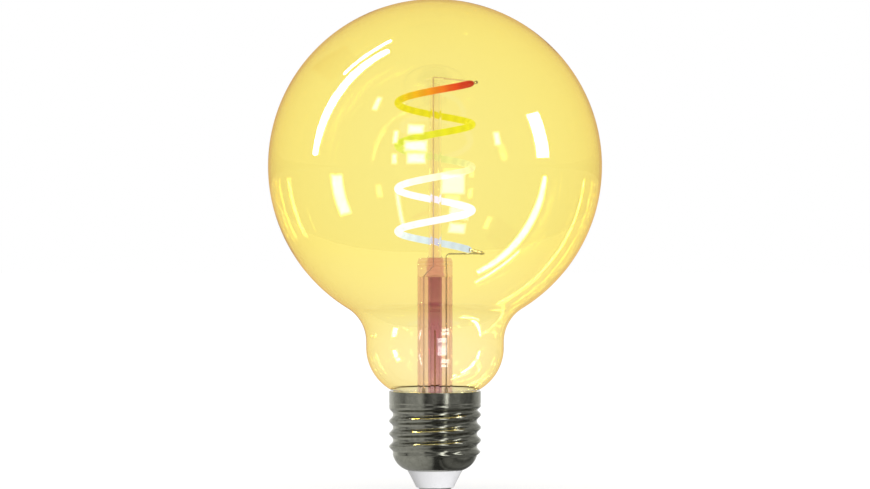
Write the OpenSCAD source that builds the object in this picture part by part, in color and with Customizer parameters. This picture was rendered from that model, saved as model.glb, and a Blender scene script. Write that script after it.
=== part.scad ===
// A smart light bulb: a tinted glass globe on an E27 screw cap, a spiral LED filament
// carried by a glass stem, and a radio-controlled driver packed inside the cap.
// Lengths are in millimetres. The origin is the centre of the tip contact's flat face,
// and +Z points to the top of the globe.

/* [Globe] */
// Overall height, from the tip contact to the top of the globe
bulb_h = 140; // [140:0.5:146]
// Outer diameter of the globe
globe_d = 95; // [90:1:95]
// Outer diameter of the neck
neck_d = 39.2; // [38.4:0.2:39.6]
// Radius of the concave sweep between the globe and the neck
shoulder_r = 11; // [9:0.5:13]
// Thickness of the blown glass
glass_wall = 0.7; // [0.5:0.1:0.9]

/* [Screw cap] */
// Outer diameter of the plain collar above the thread
collar_d = 26.1; // [26.1:0.05:26.3]
// Diameter over the crests of the thread
crest_d = 26.2; // [26.1:0.05:26.4]
// Diameter at the roots of the thread
root_d = 24; // [23.9:0.05:24.2]
// Thread pitch: seven turns to the inch
thread_pitch = 3.629; // [3.5:0.001:3.7]

/* [Filament] */
// Radius of the coil, to the middle of the filament
coil_r = 10.6; // [10:0.1:11.5]
// Turns in the coil
coil_turns = 4; // [3:1:4]
// Rise of the coil in one turn
coil_pitch = 12.2; // [12:0.1:13]
// Diameter of the filament's silicone coat
filament_d = 2; // [1.8:0.1:2.2]

/* [Stem] */
// Outer diameter of the stem tube
stem_d = 10; // [9.8:0.1:10.4]
// Outer diameter of the hollow centre rod
rod_d = 3.6; // [3.4:0.1:3.8]

/* [Driver] */
// Width of the driver board
board_w = 20.8; // [20:0.1:20.8]
// Thickness of the driver board
board_t = 1; // [0.8:0.1:1]

/* [Hidden] */
$fn = 64;

// Small gap that keeps neighbouring pieces from cutting into each other
clear = 0.02;

// Tip contact, insulator and collar
contact_r = 4.7;
contact_h = 1.1;
contact_shank_r = 1.7;
contact_bore = 0.8;
insulator_tip_r = 5.5;
insulator_waist_r = 7.8;
insulator_floor = 7.4;
insulator_top = 8.6;
shank_top = insulator_floor + 0.3;
solder_h = 2.5;
collar_z = 24.3;
collar_top = 28.5;

// The shell's rounded bottom is an arc about (bowl_x, bowl_z)
shell_wall = 0.45;
thread_wall = 0.3;
bowl_x = 6.05;
bowl_z = 11.9;
bowl_r = 6.2;
bowl_top_a = -15;
bowl_rim_a = -71.7;
collar_r = collar_d / 2;
collar_bore = collar_r - shell_wall;

// The rolled thread tube is let into the bowl below and the collar above
thread_z0 = 9.95;
thread_z1 = 24.6;
thread_fade = 1.5;
thread_rings = 30;
thread_sides = 36;
crest_r = crest_d / 2;
root_r = root_d / 2;

// Globe, shoulder, neck and skirt
globe_r = globe_d / 2;
globe_z = bulb_h - globe_r;
neck_r = neck_d / 2;
shoulder_x = neck_r + shoulder_r;
shoulder_z = globe_z - sqrt(pow(globe_r + shoulder_r, 2) - pow(shoulder_x, 2));
shoulder_a = atan2(globe_z - shoulder_z, shoulder_x);
taper_r = 14;
taper_z = collar_top + 12.5;
skirt_r = 12;
skirt_z = 24.8;

// Stem: the flare that is fused to the skirt, the flattened press and the tubes
stem_r = stem_d / 2;
stem_wall = 0.9;
flare_r = 2.7;
press_z = 61;
press_top = 66.4;
press_half_t = 2.1;
press_neck_z = 63.9;
exhaust_r = 2;
exhaust_bore = 1.2;
exhaust_tip_z = 23.2;
exhaust_top = press_z + 0.6;
vent_r = 0.4;
vent_z = press_z + 1.1;
rod_r = rod_d / 2;
rod_bore = 1.15;
rod_z = press_z + 3.2;
button_r = 2.9;
button_h = 1.5;

// Filament: a right-handed helix about the axis with straight, springy ends
coil_mid_z = 92.2;
coil_end_a = 42;
coil_start_a = coil_end_a - 180 * coil_turns;
coil_stop_a = -coil_start_a;
coil_step_a = 20;
lower_end_l = 3.2;
upper_end_l = 3.9;
coil_steps = round((coil_stop_a - coil_start_a) / coil_step_a);
lower_end = coil_point(coil_start_a) - lower_end_l * coil_heading(coil_start_a);
upper_end = coil_point(coil_stop_a) + upper_end_l * coil_heading(coil_stop_a);
coil_stations = concat(
    [station(lower_end, coil_start_a)],
    [for (i = [0:coil_steps])
        let (a = coil_start_a + (coil_stop_a - coil_start_a) * i / coil_steps)
        station(coil_point(a), a)],
    [station(upper_end, coil_stop_a)]);
rod_top = coil_z(coil_stop_a) + 0.8;

// Sections are [outward, sideways] points. The coat's channel holds the strip on its
// inner half and the chips on its outer half.
coat_r = filament_d / 2;
strip_half_w = 0.55;
strip_t = 0.3;
channel_section = [[strip_t, 0], [strip_t, strip_half_w], [0, strip_half_w],
                   [-strip_t, strip_half_w], [-strip_t, 0], [-strip_t, -strip_half_w],
                   [0, -strip_half_w], [strip_t, -strip_half_w]];
terminal_r = 0.55;
lower_terminal_l = 6;
upper_terminal_l = 2.3;
lower_tip = lower_end - lower_terminal_l * coil_heading(coil_start_a);
upper_tip = upper_end + upper_terminal_l * coil_heading(coil_stop_a);

// Wires
wire_sides = 8;
bend_steps = 5;
lead_r = 0.22;
lead_x = 3.2;
lead_y = -0.8;
bore_x = 0.45;
lead_sleeve_r = 0.5;
supply_r = 0.3;
supply_y = lead_y - 0.05;
live_x = -1.6;
neutral_x = -8.8;
weld_z = 23;
weld_r = 0.8;
weld_in = 11.25;

// The upper lead crosses inside the press from its side of the stem to the rod's bore
press_cross_low = [-lead_x, lead_y, press_z];
press_cross_high = [-bore_x, 0, press_z + 3];
upper_lead_z = rod_top + button_h + 0.37;

// Each lead ends against the thin side of its terminal's tab
joint_side = 0.33;
joint_past = 0.1;
lower_joint = lower_tip + [joint_past, -joint_side, 0];
upper_joint = upper_tip + [joint_past, joint_side, 0];

// Driver: the board stands upright across the cap
board_z = 10.4;
board_h = 11.8;
board_top = board_z + board_h;
board_front = -board_t / 2;
board_back = board_t / 2;
lead_foot_z = board_top - 1.4;
sleeve_r = 11.2;
sleeve_wall = 0.4;
sleeve_top = 21.8;
choke_x = 1.6;
choke_z = 17.2;
choke_len = 5;
choke_flange = 0.8;
choke_core_r = 1.4;
fuse_z = 12.3;
fuse_legs = [-0.9, 5.1];
radio_x0 = -2.8;
radio_x1 = 9.3;
radio_z0 = 11.2;
radio_z1 = 21.6;
radio_back = board_back + 0.8;
antenna_y = 3.1;
antenna_top = 46;

// ---------------------------------------------------------------- helpers

// Points along an arc about (x, y), from angle a0 to angle a1
function arc(x, y, r, a0, a1, steps) =
    [for (i = [0:steps]) let (a = a0 + (a1 - a0) * i / steps) [x + r * cos(a), y + r * sin(a)]];

function reverse(list) = [for (i = [len(list) - 1:-1:0]) list[i]];

function unit(v) = v / norm(v);

function clamp01(t) = max(0, min(1, t));

// Eases from 0 to 1 as t goes from 0 to 1
function ease(t) = let (c = clamp01(t)) c * c * (3 - 2 * c);

// Rounds each inner corner of a route with a curve that starts bend before it
function rounded(route, bend) = concat(
    [route[0]],
    [for (i = [1:len(route) - 2])
        let (p = route[i],
             a = p + unit(route[i - 1] - p) * bend,
             b = p + unit(route[i + 1] - p) * bend)
        for (k = [0:bend_steps])
            let (t = k / bend_steps)
            (1 - t) * (1 - t) * a + 2 * t * (1 - t) * p + t * t * b],
    [route[len(route) - 1]]);

// Direction of a route at point i
function heading(route, i) =
    unit(route[min(i + 1, len(route) - 1)] - route[max(i - 1, 0)]);

// Faces of the side wall between rings of n points each
function wall_faces(rings, n, first) =
    [for (i = [0:rings - 2], k = [0:n - 1])
        let (a = first + i * n + k, b = first + i * n + (k + 1) % n)
        each [[a, a + n, b], [b, a + n, b + n]]];

// Faces of the ring between an outer and an inner loop of n points
function rim_faces(outer, inner, n) =
    [for (k = [0:n - 1])
        let (j = (k + 1) % n)
        each [[outer + k, outer + j, inner + k], [inner + k, outer + j, inner + j]]];

function flipped(faces) = [for (f = faces) [f[2], f[1], f[0]]];

// A closed solid through rings of n points, with flat ends
module skin(rings, n) {
    last = (len(rings) - 1) * n;
    polyhedron(
        points = [for (ring = rings) each ring],
        faces = concat(
            wall_faces(len(rings), n, 0),
            [[for (k = [0:n - 1]) k]],
            [[for (k = [n - 1:-1:0]) last + k]]),
        convexity = 8);
}

// A closed solid between outer and inner rings of n points, with flat rims
module hollow_skin(outer, inner, n) {
    count = len(outer);
    inner_first = count * n;
    last = (count - 1) * n;
    polyhedron(
        points = concat([for (ring = outer) each ring], [for (ring = inner) each ring]),
        faces = concat(
            wall_faces(count, n, 0),
            flipped(wall_faces(count, n, inner_first)),
            rim_faces(0, inner_first, n),
            flipped(rim_faces(last, inner_first + last, n))),
        convexity = 8);
}

// A wire of radius r along a route. side is any direction the route never takes.
module wire(route, r, side) {
    skin([for (i = [0:len(route) - 1])
        let (t = heading(route, i), u = unit(cross(t, side)), v = cross(t, u))
        [for (k = [0:wire_sides - 1])
            let (a = 360 * k / wire_sides)
            route[i] + r * (cos(a) * u + sin(a) * v)]], wire_sides);
}

// A tube about the Z axis from z0 to z1
module tube(r, bore, z0, z1) {
    translate([0, 0, z0])
        difference() {
            cylinder(r = r, h = z1 - z0);
            translate([0, 0, -1]) cylinder(r = bore, h = z1 - z0 + 2);
        }
}

// A box given by two opposite corners
module block(low, high) {
    translate(low) cube(high - low);
}

// A drum about an axis along -Y that stands on the board's front face
module front_drum(x, z, r, y0, y1) {
    translate([x, y0, z]) rotate([90, 0, 0]) cylinder(r = r, h = y0 - y1);
}

// ---------------------------------------------------------------- glass

// Half outline of the glass, from the crown down to the skirt, moved inwards by inset
function glass_outline(inset) = concat(
    arc(0, globe_z, globe_r - inset, 90, -shoulder_a, 48),
    arc(shoulder_x, shoulder_z, shoulder_r + inset, 180 - shoulder_a, 180, 10),
    arc(neck_r - taper_r, taper_z, taper_r - inset, 0,
        -acos((skirt_r - inset - neck_r + taper_r) / (taper_r - inset)), 12),
    [[skirt_r - inset, skirt_z]]);

module globe_glass() {
    color([0.95, 0.85, 0.35, 0.35])
        rotate_extrude($fn = 96)
            polygon(concat(glass_outline(0), reverse(glass_outline(glass_wall))));
}

// The stem tube, whose flared foot is fused to the inside of the skirt
module stem_flare() {
    foot_x = stem_r + flare_r;
    foot_z = skirt_z + stem_wall + flare_r;
    rim_x = skirt_r - glass_wall;
    color([0.75, 0.5, 0.4, 0.6])
        rotate_extrude()
            polygon(concat(
                [[stem_r, press_z]],
                arc(foot_x, foot_z, flare_r, 180, 270, 10),
                [[rim_x, foot_z - flare_r], [rim_x, skirt_z]],
                arc(foot_x, foot_z, flare_r + stem_wall, 270, 180, 10),
                [[stem_r - stem_wall, press_z]]));
}

// Shape of the press seen along X: it narrows from the tube to a flat blade. It starts
// wider than the tube, so that the tube's round wall cuts it cleanly.
module press_side() {
    neck_r = press_neck_z - press_z - 0.15;
    blade = concat(
        [[stem_r + 0.4, press_z - 0.2]],
        arc(press_half_t + neck_r, press_neck_z, neck_r, 270, 180, 8));
    polygon(concat(
        blade,
        [[press_half_t, press_top], [-press_half_t, press_top]],
        [for (p = reverse(blade)) [-p[0], p[1]]]));
}

module stem_press() {
    color([0.7, 0.45, 0.38, 0.7])
        difference() {
            intersection() {
                translate([0, 0, press_z]) cylinder(r = stem_r, h = press_top - press_z);
                rotate([90, 0, 90])
                    translate([0, 0, -stem_r]) linear_extrude(2 * stem_r) press_side();
            }
            // Sockets for the rod above and the exhaust tube below
            translate([0, 0, rod_z]) cylinder(r = rod_r, h = press_top);
            translate([0, 0, rod_z - 0.5]) cylinder(r = rod_bore, h = 1);
            translate([0, 0, press_z - 1]) cylinder(r = exhaust_r, h = 1 + exhaust_top - press_z);
            translate([0, 0, press_z]) cylinder(r = exhaust_bore, h = 1.6);
            // Vent that joins the exhaust tube to the inside of the globe
            translate([0, 0, vent_z]) rotate([-90, 0, 0]) cylinder(r = vent_r, h = stem_r);
            // Passages that seal round the two leads
            translate([lead_x, lead_y, press_z - 1]) cylinder(r = lead_r + clear, h = 10);
            press_passage();
        }
}

// The slanted passage that takes the upper lead across to the rod's bore
module press_passage() {
    span = press_cross_high - press_cross_low;
    lean = acos(span[2] / norm(span));
    turn = atan2(span[1], span[0]);
    translate(press_cross_low) rotate([0, lean, turn])
        translate([0, 0, -1.5]) cylinder(r = lead_r + 0.05, h = norm(span) + 2);
}

module exhaust_tube() {
    color([0.62, 0.33, 0.3, 0.8])
        rotate_extrude($fn = 32)
            polygon([[exhaust_r, exhaust_top], [exhaust_r, exhaust_tip_z + 3],
                     [1.3, exhaust_tip_z + 0.9], [0.5, exhaust_tip_z], [0, exhaust_tip_z],
                     [0, exhaust_tip_z + 1.6], [exhaust_bore, exhaust_tip_z + 3.4],
                     [exhaust_bore, exhaust_top]]);
}

module centre_rod() {
    color([0.9, 0.78, 0.62, 0.6]) tube(rod_r, rod_bore, rod_z, rod_top);
}

// The flat bead that closes the rod and grips the upper lead
module rod_button() {
    edge = 0.4;
    color([0.9, 0.78, 0.62, 0.6])
        difference() {
            translate([0, 0, rod_top])
                rotate_extrude()
                    polygon(concat(
                        [[0, 0]],
                        arc(button_r - edge, edge, edge, -90, 0, 4),
                        arc(button_r - edge, button_h - edge, edge, 0, 90, 4),
                        [[0, button_h]]));
            translate([-bore_x, 0, rod_top - 1]) cylinder(r = lead_r + clear, h = button_h + 2);
        }
}

// ---------------------------------------------------------------- filament

// Height of the coil at angle a
function coil_z(a) = coil_mid_z + coil_pitch * a / 360;

function coil_point(a) = [coil_r * cos(a), coil_r * sin(a), coil_z(a)];

function coil_heading(a) = unit(coil_point(a + 0.5) - coil_point(a - 0.5));

// One station of the filament is [middle, outward direction, sideways direction]
function station(p, a) =
    let (out = [cos(a), sin(a), 0]) [p, out, cross(coil_heading(a), out)];

// Rings of a section, given as [outward, sideways] points, along the filament
function coil_rings(section) =
    [for (s = coil_stations) [for (q = section) s[0] + q[0] * s[1] + q[1] * s[2]]];

function round_section(r, n) =
    [for (k = [0:n - 1]) let (a = 360 * k / n) [r * cos(a), r * sin(a)]];

module filament_coat() {
    sides = len(channel_section);
    color([0.98, 0.85, 0.3])
        hollow_skin(coil_rings(round_section(coat_r, sides)), coil_rings(channel_section), sides);
}

module filament_strip() {
    w = strip_half_w - clear;
    color([0.85, 0.6, 0.3])
        skin(coil_rings([[0, -w], [0, w], [clear - strip_t, w], [clear - strip_t, -w]]), 4);
}

// One chip on each straight stretch of the strip
module filament_led_chips() {
    chip_l = 1;
    chip_w = 0.5;
    chip_h = 0.22;
    color([0.3, 0.45, 0.9])
        for (i = [0:len(coil_stations) - 2]) {
            s = coil_stations[i];
            e = coil_stations[i + 1];
            t = unit(e[0] - s[0]);
            out = unit(s[1] + e[1]);
            side = unit(cross(t, out));
            lift = cross(side, t);
            mid = (s[0] + e[0]) / 2;
            multmatrix([[t[0], side[0], lift[0], mid[0]],
                        [t[1], side[1], lift[1], mid[1]],
                        [t[2], side[2], lift[2], mid[2]]])
                translate([-chip_l / 2, -chip_w / 2, clear])
                    cube([chip_l, chip_w, chip_h]);
        }
}

// A metal tab with a crimped barrel, laid from p along direction d
module filament_terminal(p, d, length) {
    tab_w = 1;
    tab_t = 0.3;
    lean = acos(d[2]);
    turn = atan2(d[1], d[0]);
    color([0.3, 0.26, 0.22])
        translate(p) rotate([0, lean, turn]) {
            translate([-tab_w / 2, -tab_t / 2, 0]) cube([tab_w, tab_t, length]);
            translate([0, 0, length * 0.25]) cylinder(r = terminal_r, h = length * 0.6, $fn = 24);
        }
}

module lower_filament_terminal() {
    filament_terminal(lower_end, -coil_heading(coil_start_a), lower_terminal_l);
}

module upper_filament_terminal() {
    filament_terminal(upper_end, coil_heading(coil_stop_a), upper_terminal_l);
}

// ---------------------------------------------------------------- lead wires

module lower_lead_wire() {
    color([0.35, 0.3, 0.28])
        wire(rounded([[lead_x, lead_y, lead_foot_z],
                      [lead_x, lead_y, lower_joint[2]],
                      lower_joint], 1.3), lead_r, [0, 1, 0]);
}

module upper_lead_wire() {
    color([0.35, 0.3, 0.28])
        wire(rounded([[-lead_x, lead_y, lead_foot_z],
                      press_cross_low,
                      press_cross_high,
                      [-bore_x, 0, upper_lead_z],
                      upper_joint], 0.36), lead_r, [0, 1, 0]);
}

// ---------------------------------------------------------------- cap

// Height of the thread wave from 0 at the root to 1 at the crest, for t in turns
function thread_wave(t) = pow((1 + cos(360 * t)) / 2, 1.4);

// Outer radius of the rolled thread at height z and angle a
function thread_r(z, a) =
    let (grow = ease((z - thread_z0) / thread_fade) * ease((collar_z - z) / thread_fade),
         wave = (crest_r - root_r) * grow * thread_wave(z / thread_pitch - a / 360),
         tuck = 0.15 * (1 - ease((z - thread_z0) / 0.6)),
         flare = (collar_r - 0.1 - root_r) * ease((z - collar_z + 1.4) / 1.4))
    root_r + wave - tuck + flare;

function thread_ring(i, inset) =
    let (z = thread_z0 + (thread_z1 - thread_z0) * i / thread_rings)
    [for (k = [0:thread_sides - 1])
        let (a = 360 * k / thread_sides, r = thread_r(z, a) - inset)
        [r * cos(a), r * sin(a), z]];

module rolled_thread() {
    hollow_skin([for (i = [0:thread_rings]) thread_ring(i, 0)],
                [for (i = [0:thread_rings]) thread_ring(i, thread_wall)], thread_sides);
}

module screw_shell() {
    color([0.38, 0.38, 0.34]) {
        rolled_thread();
        tube(collar_r, collar_bore, collar_z, collar_top);
        rotate_extrude()
            polygon(concat(
                arc(bowl_x, bowl_z, bowl_r, bowl_top_a, bowl_rim_a, 12),
                arc(bowl_x, bowl_z, bowl_r - shell_wall, bowl_rim_a, bowl_top_a, 12)));
    }
}

// Cement between the glass skirt and the collar
module basing_cement() {
    color([0.85, 0.83, 0.78]) tube(collar_bore, skirt_r, skirt_z + 0.2, collar_top - 0.4);
}

module cap_insulator() {
    seat_r = bowl_r - shell_wall - 0.05;
    seat = arc(bowl_x, bowl_z, seat_r, bowl_rim_a + 1, bowl_rim_a + 24, 6);
    rim_r = seat[6][0];
    color([0.95, 0.95, 0.95])
        rotate_extrude()
            polygon(concat(
                [[contact_shank_r, contact_h], [insulator_tip_r, contact_h],
                 [insulator_waist_r, bowl_z + bowl_r * sin(bowl_rim_a)]],
                seat,
                [[rim_r, insulator_top], [rim_r - 0.9, insulator_top],
                 [rim_r - 0.9, insulator_floor], [contact_shank_r, insulator_floor]]));
}

module centre_contact() {
    edge = 1;
    blind_z = contact_h + 1.4;
    color([0.55, 0.54, 0.5])
        rotate_extrude()
            polygon(concat(
                [[0, 0]],
                arc(contact_r - edge, edge, edge, -90, 0, 6),
                [[contact_r, contact_h], [contact_shank_r, contact_h],
                 [contact_shank_r, shank_top], [contact_bore, shank_top],
                 [contact_bore, blind_z], [0, blind_z]]));
}

// Solder that fills the top of the contact's shank round the live wire
module contact_solder() {
    color([0.75, 0.76, 0.78]) tube(contact_bore, supply_r + clear, shank_top - solder_h, shank_top);
}

module live_wire() {
    color([0.6, 0.12, 0.1])
        wire(rounded([[0, 0, contact_h + 1.5], [0, 0, 8.4],
                      [live_x, supply_y, 9.9], [live_x, supply_y, 11.8]], 0.5),
             supply_r, [0, 1, 0]);
}

module neutral_wire() {
    color([0.2, 0.3, 0.55])
        wire(rounded([[neutral_x, supply_y, board_top - 1.6],
                      [neutral_x, supply_y, weld_z],
                      [-weld_in, supply_y, weld_z]], 0.6), supply_r, [0, 1, 0]);
}

// The bead that joins the neutral wire to the inside of the shell
module shell_weld() {
    color([0.75, 0.76, 0.78])
        translate([-weld_in, lead_y, weld_z]) rotate([0, -90, 0])
            cylinder(r1 = weld_r, r2 = weld_r * 0.8, h = 0.3, $fn = 32);
}

// ---------------------------------------------------------------- driver

// Plastic liner with guide ribs that hold the board's edges
module board_sleeve() {
    bore = sleeve_r - sleeve_wall;
    rib_in = board_w / 2 - 0.8;
    rib_t = 0.6;
    color([0.9, 0.9, 0.88]) {
        rotate_extrude()
            polygon([[9.5, insulator_top], [sleeve_r, 10], [sleeve_r, sleeve_top],
                     [bore, sleeve_top], [bore, 10.2], [9.1, insulator_top]]);
        for (x = [rib_in, -bore - 0.1], y = [board_back, board_front - rib_t])
            translate([x, y, board_z])
                cube([bore + 0.1 - rib_in, rib_t, sleeve_top - board_z]);
    }
}

module driver_board() {
    hole_r = 0.45;
    color([0.1, 0.35, 0.2])
        difference() {
            block([-board_w / 2, board_front, board_z], [board_w / 2, board_back, board_top]);
            for (x = fuse_legs)
                translate([x, 0, fuse_z]) rotate([90, 0, 0])
                    cylinder(r = hole_r, h = 3 * board_t, center = true);
        }
}

module bulk_capacitor() {
    r = 3.15;
    x = -5.6;
    y = board_front - r - 0.1;
    low = 11;
    high = 20.4;
    groove_z = low + 1.6;
    color([0.15, 0.2, 0.4]) {
        translate([x, y, 0])
            rotate_extrude($fn = 48)
                polygon([[0, low], [r - 0.3, low], [r, low + 0.3], [r, groove_z - 0.4],
                         [r - 0.35, groove_z], [r, groove_z + 0.4], [r, high - 0.3],
                         [r - 0.3, high], [0, high]]);
        for (side = [-1, 1])
            translate([x + side * 1.25 - 0.25, 0, 0]) {
                block([0, y - 0.25, low - 0.5], [0.5, y + 0.25, low]);
                block([0, y - 0.25, low - 0.5], [0.5, board_front, low - 0.1]);
            }
    }
}

module choke_core() {
    flange_r = 3;
    front = board_front - choke_len;
    color([0.2, 0.2, 0.2]) {
        front_drum(choke_x, choke_z, flange_r, board_front, board_front - choke_flange);
        front_drum(choke_x, choke_z, choke_core_r, board_front - choke_flange, front + choke_flange);
        front_drum(choke_x, choke_z, flange_r, front + choke_flange, front);
    }
}

module choke_winding() {
    y0 = board_front - choke_flange;
    y1 = board_front - choke_len + choke_flange;
    color([0.72, 0.4, 0.2])
        difference() {
            front_drum(choke_x, choke_z, 2.6, y0, y1);
            front_drum(choke_x, choke_z, choke_core_r, y0 + 1, y1 - 1);
        }
}

// An axial resistor that also serves as the fuse in the live line
module fuse_resistor() {
    r = 1.2;
    length = 5;
    y = board_front - 1.4;
    leg = 0.2;
    color([0.35, 0.5, 0.35]) {
        translate([fuse_legs[0] + 0.5, y, fuse_z]) rotate([0, 90, 0])
            rotate_extrude($fn = 32)
                polygon([[0, 0], [r, 0.2], [r, 1], [r - 0.2, 1.2], [r - 0.2, length - 1.2],
                         [r, length - 1], [r, length - 0.2], [0, length]]);
        for (x = fuse_legs, inward = [x < 0 ? 0.8 : -0.8]) {
            block([min(x, x + inward) - leg, y - leg, fuse_z - leg],
                  [max(x, x + inward) + leg, y + leg, fuse_z + leg]);
            block([x - leg, y - leg, fuse_z - leg], [x + leg, board_back, fuse_z + leg]);
        }
    }
}

module varistor() {
    x = 7.3;
    z = 17.4;
    r = 2.55;
    color([0.15, 0.3, 0.6]) {
        front_drum(x, z, r, board_front - 0.4, board_front - 2.4);
        for (side = [-1, 1])
            block([x + side * 1.2 - 0.2, board_front - 1.6, z - r - 1.2],
                  [x + side * 1.2 + 0.2, board_front, z - r + 0.7]);
    }
}

// A flat chip package on the board's back, with legs along its lower and upper edges
module package(x, z, w, h, t, legs, y) {
    leg_w = 0.35;
    leg_l = 0.7;
    pitch = w / legs;
    block([x, y, z], [x + w, y + t, z + h]);
    for (i = [0:legs - 1], edge = [z - leg_l, z + h])
        block([x + pitch * (i + 0.5) - leg_w / 2, y, edge],
              [x + pitch * (i + 0.5) + leg_w / 2, y + 0.3, edge + leg_l]);
}

module bridge_rectifier() {
    color([0.12, 0.12, 0.12]) package(-9, 11.8, 4.7, 3.2, 1.9, 2, board_back);
}

module driver_chip() {
    color([0.12, 0.12, 0.12]) package(-9, 17.2, 4.9, 3.6, 1.5, 4, board_back);
}

module chip_resistors() {
    color([0.1, 0.1, 0.12])
        for (i = [0:3])
            block([5.8 + i * 1.05, board_front - 0.45, 11.2], [6.5 + i * 1.05, board_front, 12.6]);
}

module chip_capacitors() {
    color([0.7, 0.6, 0.45])
        for (i = [0:2])
            block([-3.9, board_back, 11.4 + i * 2.6], [-3.2, board_back + 0.7, 12.9 + i * 2.6]);
}

module radio_board() {
    color([0.1, 0.25, 0.4])
        block([radio_x0, board_back, radio_z0], [radio_x1, radio_back, radio_z1]);
}

module radio_chip() {
    color([0.1, 0.1, 0.1]) block([2, radio_back, 13], [6, radio_back + 0.8, 17]);
}

module radio_crystal() {
    color([0.8, 0.8, 0.8]) block([6.6, radio_back, 13.6], [8, radio_back + 0.6, 16]);
}

module radio_shield() {
    wall = 0.2;
    high = radio_back + 1.8;
    color([0.8, 0.8, 0.82])
        difference() {
            block([0.8, radio_back, 11.9], [8.6, high, 19.2]);
            block([0.8 + wall, radio_back - 1, 11.9 + wall], [8.6 - wall, high - wall, 19.2 - wall]);
        }
}

// The aerial stands in the stem tube, clear of the metal cap
module antenna_wire() {
    foot_y = radio_back + lead_r;
    color([0.75, 0.6, 0.3])
        wire(rounded([[-1.2, foot_y, radio_z1 - 1.8], [-1.2, foot_y, radio_z1 + 0.8],
                      [0, antenna_y, radio_z1 + 3.4], [0, antenna_y, antenna_top]], 0.8),
             lead_r, [1, 0, 0]);
}

// Solder cones on the board's front: both stem leads, the live wire and the neutral wire
module solder_joints() {
    joints = [[-lead_x, lead_foot_z + 0.7, lead_r], [lead_x, lead_foot_z + 0.7, lead_r],
              [live_x, 11.1, supply_r], [neutral_x, board_top - 0.9, supply_r]];
    color([0.75, 0.76, 0.78])
        for (j = joints)
            difference() {
                translate([j[0], board_front, j[1]]) rotate([90, 0, 0])
                    cylinder(r1 = 0.75, r2 = 0.6, h = 0.9, $fn = 32);
                translate([j[0], j[2] > lead_r ? supply_y : lead_y, j[1] - 2])
                    cylinder(r = j[2] + clear, h = 4, $fn = 24);
            }
}

// Insulating tubing on the stem leads where they enter the cap
module lead_sleeves() {
    color([0.92, 0.9, 0.85])
        for (x = [-lead_x, lead_x])
            translate([x, lead_y, 0])
                tube(lead_sleeve_r, lead_r + clear, board_top + 0.4, collar_top + 0.5);
}

globe_glass();
stem_flare();
stem_press();
exhaust_tube();
centre_rod();
rod_button();
upper_lead_wire();
lower_lead_wire();
upper_filament_terminal();
lower_filament_terminal();
filament_coat();
filament_strip();
filament_led_chips();
screw_shell();
basing_cement();
cap_insulator();
centre_contact();
contact_solder();
live_wire();
neutral_wire();
shell_weld();
board_sleeve();
driver_board();
bulk_capacitor();
choke_core();
choke_winding();
fuse_resistor();
varistor();
bridge_rectifier();
driver_chip();
chip_resistors();
chip_capacitors();
radio_board();
radio_chip();
radio_crystal();
radio_shield();
antenna_wire();
solder_joints();
lead_sleeves();
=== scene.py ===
"""The looks of a smart light bulb: a gold-tinted globe with a spiral colour filament on an E27 screw cap.

Lengths are in millimetres and angles in degrees until a mesh or an object is made, which is in metres.
The origin is the centre of the tip contact's face, and +Z points to the top of the globe.
"""

import math

import bmesh
import bpy
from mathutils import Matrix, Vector, noise


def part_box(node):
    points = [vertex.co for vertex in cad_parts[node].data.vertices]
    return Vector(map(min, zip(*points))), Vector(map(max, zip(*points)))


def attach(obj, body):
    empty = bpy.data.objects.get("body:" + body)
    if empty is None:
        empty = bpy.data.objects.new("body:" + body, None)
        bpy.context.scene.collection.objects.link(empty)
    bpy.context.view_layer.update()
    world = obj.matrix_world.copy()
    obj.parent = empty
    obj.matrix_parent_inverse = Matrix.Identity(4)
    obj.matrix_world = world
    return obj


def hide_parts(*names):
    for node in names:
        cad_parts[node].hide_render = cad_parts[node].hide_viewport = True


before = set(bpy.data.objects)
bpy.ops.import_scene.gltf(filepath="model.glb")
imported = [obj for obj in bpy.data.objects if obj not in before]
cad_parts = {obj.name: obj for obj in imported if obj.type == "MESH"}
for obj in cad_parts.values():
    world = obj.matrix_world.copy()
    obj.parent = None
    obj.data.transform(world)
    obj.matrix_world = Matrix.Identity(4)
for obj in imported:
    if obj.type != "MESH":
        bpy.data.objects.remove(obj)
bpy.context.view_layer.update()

MM = 0.001


def extent(node):
    """Lowest and highest corner of a CAD node, in millimetres."""
    low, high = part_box(node)
    return low / MM, high / MM


# Globe, shoulder, neck and skirt
GLOBE_R = extent("globe_glass")[1].x
BULB_H = extent("globe_glass")[1].z
GLOBE_Z = BULB_H - GLOBE_R
GLASS_WALL = 0.7
NECK_R = 19.6
SHOULDER_R = 11
SHOULDER_X = NECK_R + SHOULDER_R
SHOULDER_Z = GLOBE_Z - math.sqrt((GLOBE_R + SHOULDER_R) ** 2 - SHOULDER_X**2)
SHOULDER_A = math.degrees(math.atan2(GLOBE_Z - SHOULDER_Z, SHOULDER_X))
COLLAR_TOP = extent("screw_shell")[1].z
TAPER_R = 14
TAPER_Z = COLLAR_TOP + 12.5
SKIRT_R = 12
SKIRT_Z = extent("globe_glass")[0].z

# Stem. A hair's gap keeps neighbouring glass surfaces from lying in each other.
GAP = 0.02
STEM_R = 5
STEM_WALL = 0.9
FLARE_R = 2.7
PRESS_Z = extent("stem_press")[0].z
PRESS_TOP = extent("stem_press")[1].z
PRESS_HALF_T = 2.1
PINCH_H = 2.9
JAW_MARK = 0.13
JAW_MARK_PITCH = 1.05
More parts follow.
